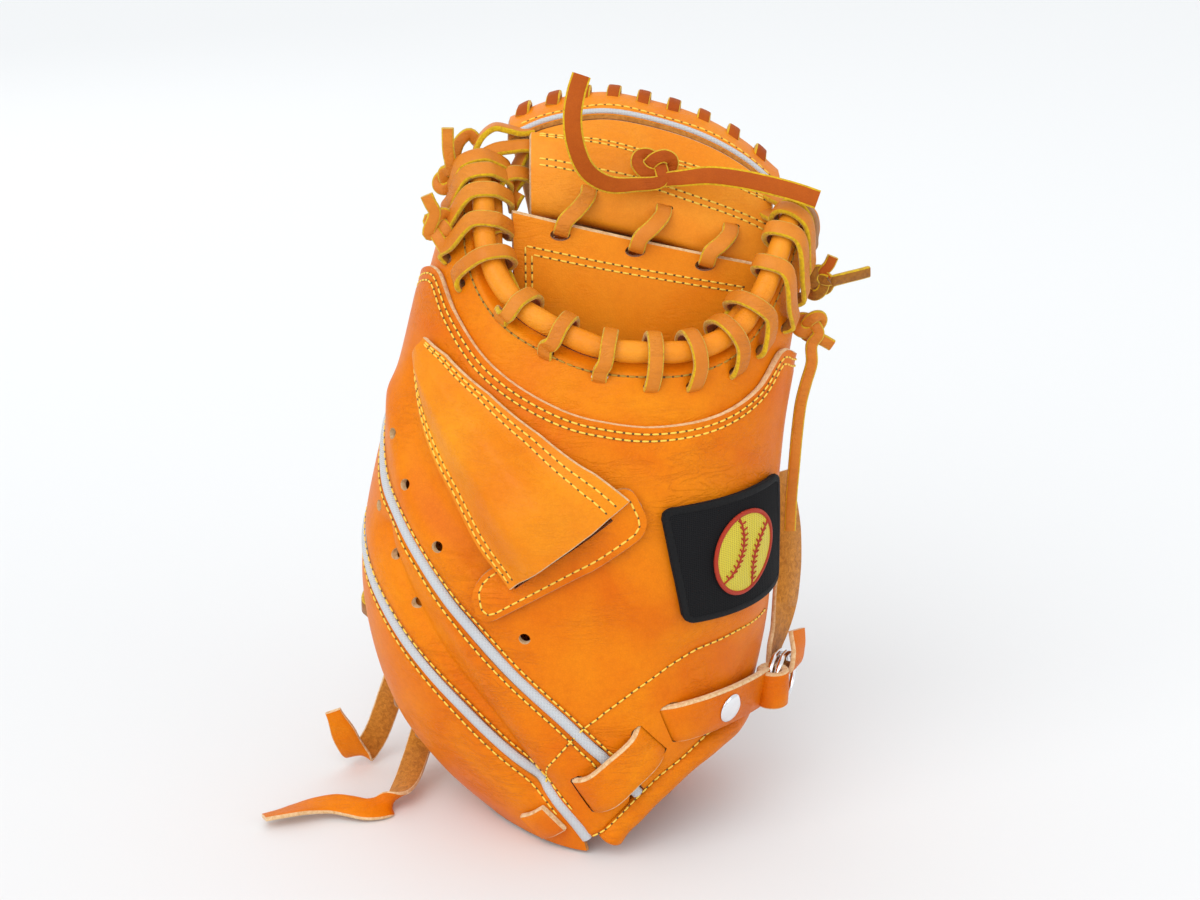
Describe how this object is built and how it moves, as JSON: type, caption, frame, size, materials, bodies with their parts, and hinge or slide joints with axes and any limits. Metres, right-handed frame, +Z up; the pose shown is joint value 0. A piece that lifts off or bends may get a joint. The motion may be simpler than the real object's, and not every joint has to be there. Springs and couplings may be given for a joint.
{
  "type": "catcher mitt",
  "caption": "Leather catcher's mitt for the left hand, standing on its heel and folded shut, with laced web, finger hood, wrist belt and loose straps",
  "frame": {"origin": "Middle of the flat bottom of the padded heel, on which the mitt stands", "axes": "+Z up, and along the mitt from heel to web. +Y from the back of the hand to the pocket. +X to the thumb side"},
  "size_m": [0.2603, 0.1382, 0.314],
  "materials": {
    "tan_leather": "satin",
    "palm_leather": "satin",
    "lace_leather": "satin",
    "suede": "matte",
    "silver_piping": "satin",
    "patch_cloth": "matte",
    "badge_thread": "satin",
    "chrome": "polished"
  },
  "bodies": {
    "root": {"back_patch": "patch_cloth", "belt_rivet": "chrome", "buckle_ring_far": "chrome", "buckle_ring_near": "chrome", "crotch_lace": "lace_leather", "crotch_roll": "tan_leather", "crotch_yoke": "tan_leather", "finger_hood": "tan_leather", "finger_knot_lower": "lace_leather", "finger_knot_upper": "lace_leather", "finger_rim_lace": "lace_leather", "finger_web_lace": "lace_leather", "hand_panel": "tan_leather", "heel_tab": "tan_leather", "inner_roll": "tan_leather", "little_finger_panel": "tan_leather", "loose_strap_long": "suede", "loose_strap_short": "suede", "palm_pad": "palm_leather", "patch_badge": "badge_thread", "ring_finger_panel": "tan_leather", "slot_strip": "tan_leather", "thumb_knot_lower": "lace_leather", "thumb_knot_upper": "lace_leather", "thumb_rim_lace": "lace_leather", "thumb_strap": "tan_leather", "thumb_web_lace": "lace_leather", "web_front": "tan_leather", "web_knot": "lace_leather", "web_lower_panel": "tan_leather", "web_rim_lace": "lace_leather", "web_strap": "tan_leather", "web_tie_1": "lace_leather", "web_tie_2": "lace_leather", "web_tie_3": "lace_leather", "web_welt": "silver_piping", "welt_long": "silver_piping", "welt_short": "silver_piping", "wrist_belt": "tan_leather", "wrist_roll": "tan_leather"}
  },
  "joints": []
}
